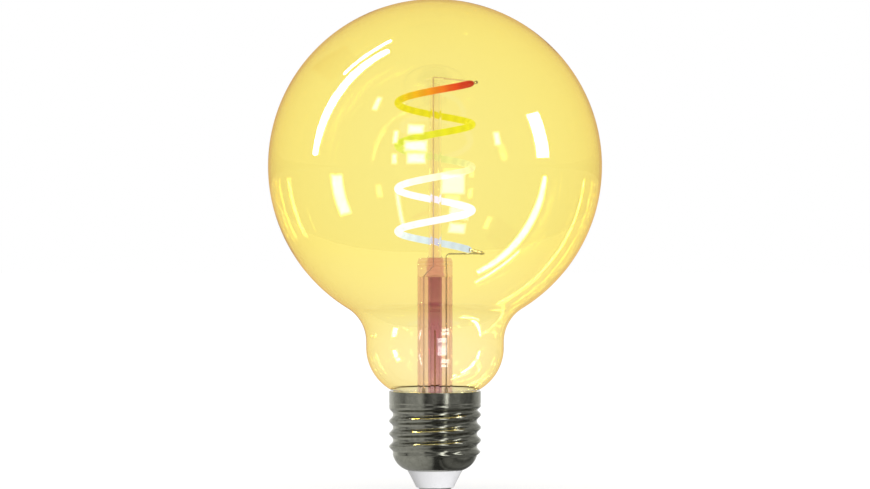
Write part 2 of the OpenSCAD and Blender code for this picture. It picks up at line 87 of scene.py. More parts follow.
# Far lower than real glass, because the photo shows the stem as flat tinted columns without dark edges.
STEM_IOR = 1.06
EXHAUST_R = 2
EXHAUST_BORE = 1.2
EXHAUST_TOP = extent("exhaust_tube")[1].z
EXHAUST_TIP_Z = extent("exhaust_tube")[0].z
ROD_R = 1.8
ROD_BORE = 1.15
ROD_TOP = extent("centre_rod")[1].z
BUTTON_R = extent("rod_button")[1].x
BUTTON_TOP = extent("rod_button")[1].z

# Filament: a right-handed helix about the axis with straight ends
COIL_R = 10.6
COIL_PITCH = 12.2
COIL_MID_Z = 92.2
COIL_STOP_A = 678
COIL_START_A = -COIL_STOP_A
COIL_STEP_A = 3
LOWER_END_L = 3.2
UPPER_END_L = 3.9
COAT_R = 1
COAT_SIDES = 24
STRIP_HALF_W = 0.55
STRIP_T = 0.3
CHIP_COUNT = 70
CHIP_SIZE = (1, 0.5, 0.22)
TERMINAL_R = 0.55
LOWER_TERMINAL_L = 6
UPPER_TERMINAL_L = 2.3

# Leads
LEAD_R = 0.22
LEAD_X = 3.2
LEAD_Y = -0.8
BORE_X = 0.45
JOINT_SIDE = 0.33
JOINT_PAST = 0.1
LEAD_FOOT_Z = extent("lower_lead_wire")[0].z

# Cap
COLLAR_R = extent("screw_shell")[1].x
COLLAR_Z = 24.3
SHELL_WALL = 0.4
CREST_R = 13.1
ROOT_R = 12
THREAD_PITCH = 3.629
THREAD_Z0 = 9.95
THREAD_FADE = 1.5
CREST_SHARPNESS = 1.4
COLLAR_FLARE_H = 1.4
BOWL_BLEND_H = 1.2
BOWL_X = 6.05
BOWL_Z = 11.9
BOWL_R = 6.2
BOWL_TOP_A = -15
BOWL_RIM_A = -71.7
INSULATOR_TIP_R = 5.5
INSULATOR_WAIST_R = 7.8
INSULATOR_FLOOR = 7.4
INSULATOR_TOP = 8.6
CONTACT_R = 4.7
CONTACT_H = 1.1
CONTACT_SHANK_R = 1.7
CONTACT_BORE = 0.8


# ---------------------------------------------------------------- shapes


def arc(x, y, r, a0, a1, steps):
    """Points along an arc about (x, y), from angle a0 to angle a1."""
    angles = [math.radians(a0 + (a1 - a0) * i / steps) for i in range(steps + 1)]
    return [(x + r * math.cos(a), y + r * math.sin(a)) for a in angles]


def ease(t):
    """Eases from 0 to 1 as t goes from 0 to 1."""
    t = max(0.0, min(1.0, t))
    return t * t * (3 - 2 * t)


def turned(r, angle, z):
    """The point at radius r, an angle and a height."""
    a = math.radians(angle)
    return Vector((r * math.cos(a), r * math.sin(a), z))


def joined(rings, closed):
    """Faces between rings of point numbers. A ring of one number is a pole."""
    faces = []
    following = rings[1:] + rings[:1] if closed else rings[1:]
    for lower, upper in zip(rings, following):
        sides = max(len(lower), len(upper))
        for k in range(sides):
            j = (k + 1) % sides
            corners = [lower[k % len(lower)], lower[j % len(lower)]]
            corners += [upper[j % len(upper)], upper[k % len(upper)]]
            corners = list(dict.fromkeys(corners))
            if len(corners) > 2:
                faces.append(corners)
    return faces


def lathe(outline, sides, closed=False):
    """An (r, z) outline turned about Z. A closed outline makes a ring, and an open one meets the axis."""
    points = []
    rings = []
    for r, z in outline:
        count = sides if r > 0 else 1
        rings.append(list(range(len(points), len(points) + count)))
        points += [turned(r, 360 * k / count, z) for k in range(count)]
    return points, joined(rings, closed)


def loft(rings, closed=False):
    """A skin through rings of equally many points, with flat ends unless it closes on itself."""
    n = len(rings[0])
    numbers = [list(range(i * n, i * n + n)) for i in range(len(rings))]
    faces = joined(numbers, closed)
    if not closed:
        faces += [numbers[0], numbers[-1]]
    return [p for ring in rings for p in ring], faces


def together(parts):
    """Several (points, faces) shapes as one, each still a separate solid."""
    points = []
    faces = []
    for part_points, part_faces in parts:
        first = len(points)
        points += part_points
        faces += [[first + i for i in face] for face in part_faces]
    return points, faces


def oval(half_w, half_t, sides, power=2):
    """A superellipse section as (u, v) points. A higher power makes it boxier."""
    section = []
    for k in range(sides):
        a = 2 * math.pi * (k + 0.5) / sides
        c, s = math.cos(a), math.sin(a)
        section.append((half_w * math.copysign(abs(c) ** (2 / power), c),
                        half_t * math.copysign(abs(s) ** (2 / power), s)))
    return section


def bent(route, bend, steps=8):
    """A route with each inner corner rounded by a curve that starts bend before it."""
    route = [Vector(p) for p in route]
    made = [route[0]]
    for before, corner, after in zip(route, route[1:], route[2:]):
        start = corner + (before - corner).normalized() * bend
        end = corner + (after - corner).normalized() * bend
        for k in range(steps + 1):
            t = k / steps
            made.append((1 - t) ** 2 * start + 2 * t * (1 - t) * corner + t * t * end)
    return made + [route[-1]]


def carried(path, sections, side):
    """Rings of (u, v) sections carried along a path without twisting. side is the first v direction."""
    rings = []
    v = Vector(side)
    for i, point in enumerate(path):
        heading = (path[min(i + 1, len(path) - 1)] - path[max(i - 1, 0)]).normalized()
        v = (v - heading * v.dot(heading)).normalized()
        u = v.cross(heading)
        rings.append([point + a * u + b * v for a, b in sections[i]])
    return rings


def wire(route, r, bend, side=(0, 1, 0), sides=12):
    """A round wire along a route with rounded corners."""
    path = bent(route, bend)
    return loft(carried(path, [oval(r, r, sides)] * len(path), side))


def piece(name, shape, material, nodes, sharp=38):
    """Makes a piece from (points, faces) in millimetres. It stands for the CAD nodes named."""
    points, faces = shape
    mesh = bpy.data.meshes.new(name)
    mesh.from_pydata([Vector(p) * MM for p in points], [], faces)
    work = bmesh.new()
    work.from_mesh(mesh)
    bmesh.ops.recalc_face_normals(work, faces=work.faces)
    work.to_mesh(mesh)
    work.free()
    mesh.shade_smooth()
    mesh.set_sharp_from_angle(angle=math.radians(sharp))
    mesh.materials.append(material)
    made = bpy.data.objects.new(name, mesh)
    bpy.context.scene.collection.objects.link(made)
    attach(made, "root")
    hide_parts(*nodes)
    return made


# ---------------------------------------------------------------- material nodes


def new_material(name):
    """A material with a Principled shader, as (material, node tree, shader)."""
    material = bpy.data.materials.new(name)
    material.use_nodes = True
    tree = material.node_tree
    return material, tree, tree.nodes["Principled BSDF"]


def add(tree, kind, inputs=None, **settings):
    """Adds a node. An input may be a value or another node's output."""
    made = tree.nodes.new(kind)
    for key, value in settings.items():
        setattr(made, key, value)
    for key, value in (inputs or {}).items():
        if isinstance(value, bpy.types.NodeSocket):
            tree.links.new(value, made.inputs[key])
        else:
            made.inputs[key].default_value = value
    return made


def place(tree, stretch=(1, 1, 1)):
    """Object coordinates in millimetres, stretched."""
    coordinates = add(tree, "ShaderNodeTexCoord").outputs["Object"]
    scale = [s / MM for s in stretch]
    return add(tree, "ShaderNodeMapping", {"Vector": coordinates, "Scale": scale}).outputs["Vector"]


def grain(tree, size, detail=3.0, stretch=(1, 1, 1), rough=0.55):
    """Noise with features of a size in millimetres."""
    inputs = {"Vector": place(tree, stretch), "Scale": 1 / size, "Detail": detail, "Roughness": rough}
    return add(tree, "ShaderNodeTexNoise", inputs).outputs["Fac"]


def between(tree, value, low, high, from_low=0.3, from_high=0.7):
    """Maps a value's range to low..high."""
    inputs = {"Value": value, "From Min": from_low, "From Max": from_high, "To Min": low, "To Max": high}
    return add(tree, "ShaderNodeMapRange", inputs).outputs["Result"]


def ramp(tree, value, stops):
    """A colour that follows (position, colour) stops. Colours are linear."""
    made = add(tree, "ShaderNodeValToRGB", {"Fac": value})
    elements = made.color_ramp.elements
    while len(elements) < len(stops):
        elements.new(0.5)
    for element, (position, colour) in zip(elements, stops):
        element.position = position
        element.color = (*colour, 1)
    return made.outputs["Color"]


def maths(tree, operation, first, second=0.5):
    """The result of one sum on values or other nodes' outputs."""
    return add(tree, "ShaderNodeMath", {0: first, 1: second}, operation=operation).outputs["Value"]


def relief(tree, shader, height, depth, strength=1.0):
    """Raises the surface by a height map, where depth is in millimetres."""
    inputs = {"Height": height, "Distance": depth * MM, "Strength": strength}
    bump = add(tree, "ShaderNodeBump", inputs)
    tree.links.new(bump.outputs["Normal"], shader.inputs["Normal"])


def set_values(shader, **values):
    """Sets plain values on the shader's own sockets. Underscores stand for spaces."""
    for key, value in values.items():
        shader.inputs[key.replace("_", " ")].default_value = value


def mottled(name, dark, light, size, rough=(0.4, 0.6), depth=0.01, stretch=(1, 1, 1), **values):
    """A surface whose colour, roughness and relief vary with a fine grain."""
    material, tree, shader = new_material(name)
    fine = grain(tree, size, 4.0, stretch)
    broad = grain(tree, size * 9, 2.0, stretch)
    mixed = maths(tree, "ADD", maths(tree, "MULTIPLY", fine, 0.6), maths(tree, "MULTIPLY", broad, 0.4))
    tree.links.new(ramp(tree, mixed, [(0.36, dark), (0.64, light)]), shader.inputs["Base Color"])
    tree.links.new(between(tree, broad, *rough), shader.inputs["Roughness"])
    relief(tree, shader, fine, depth)
    set_values(shader, **values)
    return material


# ---------------------------------------------------------------- glass


def tinted_glass(name, stops, from_z, to_z, waviness, ior=1.5, absorption=None):
    """Clear blown or drawn glass, tinted by height, with slight waves and a haze of handling."""
    material, tree, shader = new_material(name)
    height = add(tree, "ShaderNodeSeparateXYZ", {"Vector": place(tree)}).outputs["Z"]
    along = between(tree, height, 0, 1, from_z, to_z)
    streaks = grain(tree, 14, 2.0, (1, 1, 0.5))
    shifted = maths(tree, "ADD", along, between(tree, streaks, -0.03, 0.03))
    tree.links.new(ramp(tree, shifted, stops), shader.inputs["Base Color"])
    haze = grain(tree, 6, 5.0)
    tree.links.new(between(tree, haze, 0.0, 0.012, 0.45, 0.8), shader.inputs["Roughness"])
    relief(tree, shader, grain(tree, 9, 1.0, (1, 1, 0.4)), waviness)
    set_values(shader, Transmission_Weight=1, IOR=ior)
    if absorption:
        colour, density = absorption
        volume = add(tree, "ShaderNodeVolumeAbsorption", {"Color": (*colour, 1), "Density": density})
        output = tree.nodes["Material Output"]
        tree.links.new(volume.outputs["Volume"], output.inputs["Volume"])
    return material


def amber_glass():
    """The globe's gold tint, which thins out towards the neck."""
    stops = [(0.0, (1, 1, 1)), (0.35, (1, 0.998, 0.92)), (1.0, (1, 0.995, 0.74))]
    return tinted_glass("amber_glass", stops, 26, 70, 0.01, absorption=((0.99, 0.91, 0.50), 1100))


def stem_glass():
    """Lead glass, tinted rose where the press was heated."""
    stops = [(0.0, (0.99, 0.95, 0.98)), (0.5, (0.97, 0.89, 0.97)), (1.0, (0.93, 0.80, 0.92))]
    return tinted_glass("stem_glass", stops, 28, 64, 0.004, STEM_IOR, ((0.86, 0.70, 0.80), 340))


def press_glass():
    """The stem's glass again, where the exhaust tube's darker rose is melted into the middle."""
    material, tree, shader = new_material("press_glass")
    across = add(tree, "ShaderNodeSeparateXYZ", {"Vector": place(tree)}).outputs["X"]
    off = maths(tree, "ABSOLUTE", maths(tree, "ADD", across, between(tree, grain(tree, 1.5), -0.4, 0.4)))
    stops = [(0.0, (0.66, 0.32, 0.58)), (0.40, (0.67, 0.35, 0.60)), (0.52, (0.89, 0.70, 0.84)),
             (1.0, (0.86, 0.66, 0.80))]
    tree.links.new(ramp(tree, between(tree, off, 0, 1, 0, STEM_R), stops), shader.inputs["Base Color"])
    tree.links.new(between(tree, grain(tree, 2, 4.0), 0.0, 0.012, 0.45, 0.8), shader.inputs["Roughness"])
    relief(tree, shader, grain(tree, 3, 1.0), 0.004)
    set_values(shader, Transmission_Weight=1, IOR=STEM_IOR)
    return material


def exhaust_glass():
    """The exhaust tube's darker rose."""
    stops = [(0.0, (0.95, 0.88, 0.95)), (0.5, (0.80, 0.60, 0.76)), (1.0, (0.71, 0.48, 0.67))]
    return tinted_glass("exhaust_glass", stops, 28, 62, 0.004, STEM_IOR, ((0.52, 0.15, 0.52), 340))


def rod_glass():
    """The centre rod's faint pink."""
    stops = [(0.0, (0.94, 0.84, 0.92)), (0.25, (0.97, 0.92, 0.97)), (1.0, (0.985, 0.965, 0.98))]
    return tinted_glass("rod_glass", stops, 66, 118, 0.002, STEM_IOR)


def glass_outline(inset):
    """Half outline of the glass, from the crown down to the skirt, moved inwards by inset."""
    taper_r = TAPER_R - inset
    skirt_a = math.degrees(math.acos((SKIRT_R - inset - NECK_R + TAPER_R) / taper_r))
    outline = arc(0, GLOBE_Z, GLOBE_R - inset, 90, -SHOULDER_A, 110)[1:]
    outline += arc(SHOULDER_X, SHOULDER_Z, SHOULDER_R + inset, 180 - SHOULDER_A, 180, 20)[1:]
    outline += arc(NECK_R - TAPER_R, TAPER_Z, taper_r, 0, -skirt_a, 22)[1:]
    return [(0, BULB_H - inset)] + outline + [(SKIRT_R - inset, SKIRT_Z)]


def make_globe(material):
    """The blown envelope, as one closed wall."""
    outline = glass_outline(0) + glass_outline(GLASS_WALL)[::-1]
    return piece("Globe", lathe(outline, 160), material, ["globe_glass"])


def make_stem_tube(material):
    """The tube with its trumpet foot, fused round the inside of the skirt."""
    foot_x = STEM_R + FLARE_R
    foot_z = SKIRT_Z + STEM_WALL + FLARE_R
    rim_x = SKIRT_R - GLASS_WALL - 2 * GAP
    outline = [(STEM_R, PRESS_Z - GAP)]
    outline += arc(foot_x, foot_z, FLARE_R, 180, 270, 24)
    outline += [(rim_x, foot_z - FLARE_R), (rim_x, SKIRT_Z)]
    outline += arc(foot_x, foot_z, FLARE_R + STEM_WALL, 270, 180, 24)
    outline += [(STEM_R - STEM_WALL, PRESS_Z - GAP)]
    return piece("Stem_tube", lathe(outline, 96, True), material, ["stem_flare"])


def press_section(z):
    """Outline of the pinched press at a height: round below, a flat blade with jaw bands above."""
    pinch = ease((z - PRESS_Z) / PINCH_H)
    top = PRESS_TOP - z
    edge = 0.35
    shrink = 1 - math.sqrt(max(0, 1 - min(1, top / edge - 1) ** 2)) if top < edge else 0
    band = JAW_MARK * pinch * math.sin(2 * math.pi * (z - PRESS_Z) / JAW_MARK_PITCH)
    half_w = STEM_R - 0.35 * ease((z - PRESS_TOP + 1.4) / 1.4) - edge * shrink
    half_t = STEM_R + (PRESS_HALF_T - STEM_R) * pinch + band - edge * shrink
    return [Vector((u, v, z)) for u, v in oval(half_w, half_t, 72, 2 + 1.6 * pinch)]


def make_press(material):
    """The flattened press, closed below by a dome over the stem tube's bore."""
    dome_h = 0.12
    steps = 60
    rings = []
    for i in range(12):
        r = (STEM_R - 0.1) * math.sin(math.radians(90 * (i + 0.2) / 12))
        z = PRESS_Z + dome_h * (1 - (r / STEM_R) ** 2)
        rings.append([Vector((u, v, z)) for u, v in oval(r, r, 72)])
    for i in range(steps + 1):
        rings.append(press_section(PRESS_Z + (PRESS_TOP - PRESS_Z) * math.sin(math.pi * i / steps / 2)))
    return piece("Press", loft(rings), material, ["stem_press"])


def make_exhaust_tube(material):
    """The pumping tube, drawn to a sealed tip inside the cap."""
    tip = [(0, EXHAUST_TIP_Z)] + arc(0, EXHAUST_TIP_Z + 0.5, 0.5, -60, 0, 4)
    outline = tip + [(0.9, EXHAUST_TIP_Z + 1.0), (1.45, EXHAUST_TIP_Z + 1.7), (1.85, EXHAUST_TIP_Z + 2.6)]
    outline += [(EXHAUST_R, EXHAUST_TIP_Z + 3.8), (EXHAUST_R, EXHAUST_TOP - 0.6)]
    outline += [(EXHAUST_BORE, EXHAUST_TOP - 0.6), (EXHAUST_BORE, EXHAUST_TIP_Z + 4.2)]
    outline += [(0.8, EXHAUST_TIP_Z + 3.0), (0.4, EXHAUST_TIP_Z + 2.3), (0, EXHAUST_TIP_Z + 2.0)]
    return piece("Exhaust_tube", lathe(outline, 64), material, ["exhaust_tube"], 50)


def make_rod(material):
    """The hollow rod, with a fused fillet where it stands on the press."""
    foot = PRESS_TOP + GAP
    outline = [(ROD_R + 0.5, foot), (ROD_R + 0.16, foot + 0.25), (ROD_R, foot + 0.8)]
    outline += arc(ROD_R - 0.15, ROD_TOP - 0.15, 0.15, 0, 90, 4)
    outline += [(ROD_BORE, ROD_TOP), (ROD_BORE, foot)]
    return piece("Centre_rod", lathe(outline, 64, True), material, ["centre_rod"], 50)


def make_button(material):
    """The bead of glass that closes the rod, flattened by the tool that pressed it."""
    low = ROD_TOP + GAP
    middle = (low + BUTTON_TOP) / 2
    half = (BUTTON_TOP - low) / 2
    rim = [(BUTTON_R - half + half * c, middle + half * s) for c, s in arc(0, 0, 1, -90, 90, 16)]
    outline = [(0, low)] + rim + [(1.1, BUTTON_TOP - 0.05), (0, BUTTON_TOP - 0.12)]
    return piece("Rod_button", lathe(outline, 64), material, ["rod_button"])


# ---------------------------------------------------------------- filament


def coil_point(a):
    return turned(COIL_R, a, COIL_MID_Z + COIL_PITCH * a / 360)


def coil_heading(a):
    return (coil_point(a + 0.5) - coil_point(a - 0.5)).normalized()


def station(point, a):
    """A place on the filament, with its outward and sideways directions."""
    out = turned(1, a, 0)
    return point, out, coil_heading(a).cross(out)


def coil_stations():
    """Stations from the lower end to the upper end."""
    ends = 6
    turns = round((COIL_STOP_A - COIL_START_A) / COIL_STEP_A)
    made = []
    for i in range(ends, 0, -1):
        run = coil_heading(COIL_START_A) * (LOWER_END_L * i / ends)
        made.append(station(coil_point(COIL_START_A) - run, COIL_START_A))
    for i in range(turns + 1):
        a = COIL_START_A + (COIL_STOP_A - COIL_START_A) * i / turns
        made.append(station(coil_point(a), a))
    for i in range(1, ends + 1):
        run = coil_heading(COIL_STOP_A) * (UPPER_END_L * i / ends)
        made.append(station(coil_point(COIL_STOP_A) + run, COIL_STOP_A))
    return made


STATIONS = coil_stations()
LOWER_END = STATIONS[0][0]
UPPER_END = STATIONS[-1][0]
LOWER_TIP = LOWER_END - coil_heading(COIL_START_A) * LOWER_TERMINAL_L
UPPER_TIP = UPPER_END + coil_heading(COIL_STOP_A) * UPPER_TERMINAL_L


def section_rings(section):
    """Rings of an (outward, sideways) section at every station."""
    return [[p + a * out + b * side for a, b in section] for p, out, side in STATIONS]


def filament_material():
    """Glowing silicone: the colour runs along the coil, and each chip behind it is a little brighter."""
    material, tree, shader = new_material("filament_silicone")
    along = add(tree, "ShaderNodeAttribute", attribute_name="along").outputs["Fac"]
    hues = [(0.0, (0.40, 0.51, 1.0)), (0.06, (0.42, 0.53, 1.0)), (0.11, (0.49, 0.57, 1.0)),
            (0.18, (0.50, 0.53, 1.0)), (0.40, (0.52, 0.54, 1.0)), (0.49, (0.97, 0.98, 0.70)),
            (0.57, (0.93, 1.0, 0.46)), (0.65, (0.80, 0.94, 0.12)), (0.71, (0.90, 0.90, 0.01)),
            (0.905, (0.88, 0.80, 0.0)), (0.928, (0.95, 0.58, 0.0)), (0.95, (0.98, 0.30, 0.0)),
            (0.97, (0.88, 0.07, 0.0)), (0.985, (0.70, 0.0, 0.0)), (1.0, (0.50, 0.0, 0.0))]
    powers = [(0.0, 1.6), (0.06, 1.8), (0.12, 2.0), (0.18, 2.2), (0.40, 2.1), (0.49, 1.0), (0.60, 0.92),
              (0.71, 0.98), (1.0, 0.94)]
    colour = ramp(tree, along, hues)
    level = ramp(tree, along, [(position, [value / 4] * 3) for position, value in powers])
    chips = maths(tree, "SINE", maths(tree, "MULTIPLY", along, 2 * math.pi * CHIP_COUNT))
    pulse = between(tree, chips, 0.95, 1.05, -1, 1)
    strength = maths(tree, "MULTIPLY", maths(tree, "MULTIPLY", level, 4.0), pulse)
    tree.links.new(colour, shader.inputs["Emission Color"])
    tree.links.new(strength, shader.inputs["Emission Strength"])
    fine = grain(tree, 0.5, 3.0)
    tree.links.new(ramp(tree, fine, [(0.3, (0.002, 0.0015, 0.001)), (0.7, (0.006, 0.004, 0.003))]),
                   shader.inputs["Base Color"])
    tree.links.new(between(tree, fine, 0.35, 0.5), shader.inputs["Roughness"])
    relief(tree, shader, fine, 0.02)
    set_values(shader, IOR=1.41, Specular_IOR_Level=0.08)
    return material


def make_coat():
    """The silicone coat, swept along the coil round a channel for the strip and chips."""
    last = len(STATIONS) - 1
    outer = []
    for i, ring in enumerate(section_rings(oval(COAT_R, COAT_R, COAT_SIDES))):
        swell = 1 - 0.02 * noise.noise(Vector((i * 0.23, 4.1, 0)))
        swell *= 1 - 0.22 * ease(1 - min(i, last - i) / 1.6)
        middle = STATIONS[i][0]
        outer.append([middle + (p - middle) * min(swell, 1) for p in ring])
    inner = section_rings(oval(STRIP_T + GAP, STRIP_HALF_W + GAP, COAT_SIDES, 6))
    shape = loft(outer + inner[::-1], True)
    made = piece("Filament", shape, filament_material(), ["filament_coat"], 60)
    along = made.data.attributes.new("along", "FLOAT", "POINT")
    runs = [i // COAT_SIDES for i in range(len(shape[0]))]
    along.data.foreach_set("value", [(run if run <= last else 2 * last + 1 - run) / last for run in runs])
    return made


def make_strip():
    """The flexible polyimide strip that carries the chips."""
    half_t = (STRIP_T - GAP) / 2
    section = [(a - half_t - GAP, b) for a, b in oval(half_t, STRIP_HALF_W - GAP, 16, 6)]
    material = mottled("filament_polyimide", (0.42, 0.20, 0.04), (0.62, 0.34, 0.09), 0.3, (0.3, 0.45))
    shape = loft(section_rings(section))
    return piece("Filament_strip", shape, material, ["filament_strip"])


def rounded_block(middle, axes, size, edge):
    """A box with chamfered edges. axes are its three unit directions."""
    inner = [s / 2 - edge for s in size]
    rings = []
    for level, inset in [(-size[2] / 2, edge), (-inner[2], 0), (inner[2], 0), (size[2] / 2, edge)]:
        w = size[0] / 2 - inset
        t = size[1] / 2 - inset
        corners = [(w, t - edge), (w - edge, t), (edge - w, t), (-w, t - edge),
                   (-w, edge - t), (edge - w, -t), (w - edge, -t), (w, edge - t)]
        rings.append([middle + a * axes[0] + b * axes[1] + level * axes[2] for a, b in corners])
    return loft(rings)


def make_chips():
    """The chips, spread evenly along the strip's outer face."""
    blocks = []
    for i in range(CHIP_COUNT):
        at = (i + 0.5) / CHIP_COUNT * (len(STATIONS) - 1)
        middle, out, side = STATIONS[int(at)]
        heading = side.cross(out)
        centre = middle + out * (GAP + CHIP_SIZE[2] / 2)
        blocks.append(rounded_block(centre, (heading, side, out), CHIP_SIZE, 0.03))
    material = mottled("led_chip", (0.10, 0.22, 0.55), (0.25, 0.42, 0.80), 0.1, (0.15, 0.3))
    return piece("Filament_chips", together(blocks), material, ["filament_led_chips"], 30)


def terminal_shape(start, heading, length):
    """A sheet-metal tab rolled into a barrel, which is crimped twice and ends in a tab again."""
    steps = 56
    path = []
    sections = []
    for i in range(steps + 1):
        s = i / steps
        rolled = ease((s - 0.18) / 0.08) * ease((0.92 - s) / 0.07)
        crimp = sum(math.exp(-(((s - at) * length / 0.28) ** 2)) for at in (0.42, 0.68))
        half_w = 0.5 + (TERMINAL_R - 0.5) * rolled + 0.07 * crimp * rolled
        half_t = 0.15 + (TERMINAL_R - 0.15) * rolled - 0.2 * crimp * rolled
        edge = 1 - 0.6 * ease(1 - min(s, 1 - s) * length / 0.12)
        path.append(Vector(start) + heading * (s * length))
        sections.append(oval(half_w * edge, half_t * edge, 24, 4 - 2 * rolled))
    return loft(carried(path, sections, (0, 0, 1)))


def make_terminals(metal):
    """The crimped terminals at the filament's two ends."""
    lower = terminal_shape(LOWER_END, -coil_heading(COIL_START_A), LOWER_TERMINAL_L)
    upper = terminal_shape(UPPER_END, coil_heading(COIL_STOP_A), UPPER_TERMINAL_L)
    piece("Lower_terminal", lower, metal, ["lower_filament_terminal"])
    piece("Upper_terminal", upper, metal, ["upper_filament_terminal"])


def make_leads(metal, clad):
    """The nickel lead and the copper-clad one, from the driver board to the terminals. Returns the second."""
    lower_joint = LOWER_TIP + Vector((JOINT_PAST, -JOINT_SIDE, 0))
    lower = wire([(LEAD_X, LEAD_Y, LEAD_FOOT_Z), (LEAD_X, LEAD_Y, lower_joint.z), lower_joint], LEAD_R, 1.3)
    upper_joint = UPPER_TIP + Vector((JOINT_PAST, JOINT_SIDE, 0))
    upper = wire([(-LEAD_X, LEAD_Y, LEAD_FOOT_Z), (-LEAD_X, LEAD_Y, PRESS_Z), (-BORE_X, 0, PRESS_Z + 3),
                  (-BORE_X, 0, BUTTON_TOP + 0.37), upper_joint], LEAD_R, 0.36)
    piece("Lower_lead", lower, metal, ["lower_lead_wire"])
    return piece("Upper_lead", upper, clad, ["upper_lead_wire"])


# ---------------------------------------------------------------- cap


def thread_r(z, a):
    """Outer radius of the rolled thread at a height and an angle."""
    grow = ease((z - THREAD_Z0) / THREAD_FADE) * ease((COLLAR_Z - z) / THREAD_FADE)
    turn = z / THREAD_PITCH - a / 360
    wave = (CREST_R - ROOT_R) * grow * ((1 + math.cos(2 * math.pi * turn)) / 2) ** CREST_SHARPNESS
    flare = (COLLAR_R - ROOT_R) * ease((z - COLLAR_Z) / COLLAR_FLARE_H + 1)
    bowl_r = BOWL_X + BOWL_R * math.cos(math.radians(BOWL_TOP_A))
    return ROOT_R + (bowl_r - ROOT_R) * (1 - ease((z - THREAD_Z0) / BOWL_BLEND_H)) + wave + flare


def shell_profile(a):
    """Outer profile of the formed shell at one angle, from the collar's lip to the bowl's rim."""
    lip = 0.16
    collar = arc(COLLAR_R - lip, COLLAR_TOP - lip, lip, 90, 0, 5)
    bead_z = COLLAR_Z + 0.55
    for i in range(15):
        z = COLLAR_TOP - 0.4 - (COLLAR_TOP - 0.4 - COLLAR_Z) * i / 15
        collar.append((COLLAR_R - 0.10 * math.exp(-(((z - bead_z) / 0.2) ** 2)), z))
    bowl = arc(BOWL_X, BOWL_Z, BOWL_R, BOWL_TOP_A, BOWL_RIM_A, 22)
    steps = 118
    thread = []
    for i in range(steps):
        z = COLLAR_Z + (bowl[0][1] - COLLAR_Z) * i / steps
        thread.append((thread_r(z, a), z))
    return collar + thread + bowl


def make_shell():
    """The screw shell, rolled from one sheet: collar, thread and rounded bottom."""
    sides = 144
    columns = []
    for k in range(sides):
        a = 360 * k / sides
        outer = shell_profile(a)
        inner = []
        for i, (r, z) in enumerate(outer):
            before = Vector(outer[max(i - 1, 0)])
            after = Vector(outer[min(i + 1, len(outer) - 1)])
            run = (after - before).normalized()
            inner.append((r + run.y * SHELL_WALL, z - run.x * SHELL_WALL))
        inner[0] = (COLLAR_R - SHELL_WALL, COLLAR_TOP - 0.05)
        columns.append([turned(r, a, z) for r, z in outer + inner[::-1]])
    count = len(columns[0])
    points = [p for column in columns for p in column]
    faces = []
    for k in range(sides):
        here, there = k * count, (k + 1) % sides * count
        for i in range(count):
            j = (i + 1) % count
            faces.append([here + i, here + j, there + j, there + i])
    return piece("Screw_shell", (points, faces), black_nickel(), ["screw_shell"], 50)


def black_nickel():
    """Dark bright-plated brass with drawing lines round it and fine rubbing."""
    material, tree, shader = new_material("black_nickel")
    lines = grain(tree, 0.5, 4.0, (0.06, 0.06, 4))
    rub = grain(tree, 1.4, 5.0, rough=0.7)
    tree.links.new(ramp(tree, rub, [(0.3, (0.29, 0.29, 0.25)), (0.7, (0.40, 0.40, 0.35))]),
                   shader.inputs["Base Color"])
    worn = maths(tree, "ADD", between(tree, rub, 0.0, 0.09, 0.45, 0.75), between(tree, lines, 0.07, 0.15))
    tree.links.new(worn, shader.inputs["Roughness"])
    both = maths(tree, "ADD", lines, maths(tree, "MULTIPLY", grain(tree, 3.2, 1.0), 1.5))
    relief(tree, shader, both, 0.012)
    set_values(shader, Metallic=1)
    return material


def make_insulator():
    """The white insulator between the shell and the tip contact."""
    seat_r = BOWL_R - SHELL_WALL - 0.05
    seat = arc(BOWL_X, BOWL_Z, seat_r, BOWL_RIM_A + 1, BOWL_RIM_A + 24, 12)
    rim_r = seat[-1][0]
    waist_z = BOWL_Z + BOWL_R * math.sin(math.radians(BOWL_RIM_A))
    foot_z = CONTACT_H + GAP + 0.25
    cone = []
    for i in range(19):
        t = i / 18
        r = INSULATOR_TIP_R + (INSULATOR_WAIST_R - INSULATOR_TIP_R) * t
        cone.append((r - 0.05 * math.sin(math.pi * t), foot_z + (waist_z - 0.2 - foot_z) * t))
    outline = [(CONTACT_SHANK_R + GAP, CONTACT_H + GAP)]
    outline += arc(INSULATOR_TIP_R - 0.25, foot_z, 0.25, -90, -20, 6) + cone
    outline += seat + arc(rim_r - 0.2, INSULATOR_TOP - 0.2, 0.2, 0, 90, 4)
    outline += [(rim_r - 0.9, INSULATOR_TOP), (rim_r - 0.9, INSULATOR_FLOOR)]
    outline += [(CONTACT_SHANK_R + GAP, INSULATOR_FLOOR)]
    material = mottled("insulator_white", (0.44, 0.44, 0.45), (0.48, 0.48, 0.49), 0.4, (0.3, 0.42), 0.006)
    return piece("Insulator", lathe(outline, 120, True), material, ["cap_insulator"])


def make_cement():
    """The ring of cement between the glass skirt and the collar, smoothed off at the top."""
    inner = SKIRT_R + GAP
    outer = COLLAR_R - SHELL_WALL - GAP
    low_z = extent("basing_cement")[0].z
    high_z = COLLAR_TOP - 0.06
    outline = [(inner, low_z), (outer, low_z), (outer, high_z - 0.05)]
    for t in (0.75, 0.5, 0.25):
        outline.append((inner + (outer - inner) * t, high_z - 0.12 * math.sin(math.pi * t)))
    outline.append((inner, high_z))
    material = mottled("cement", (0.86, 0.86, 0.85), (0.95, 0.95, 0.94), 0.35, (0.8, 0.95), 0.06)
    return piece("Basing_cement", lathe(outline, 120, True), material, ["basing_cement"], 60)


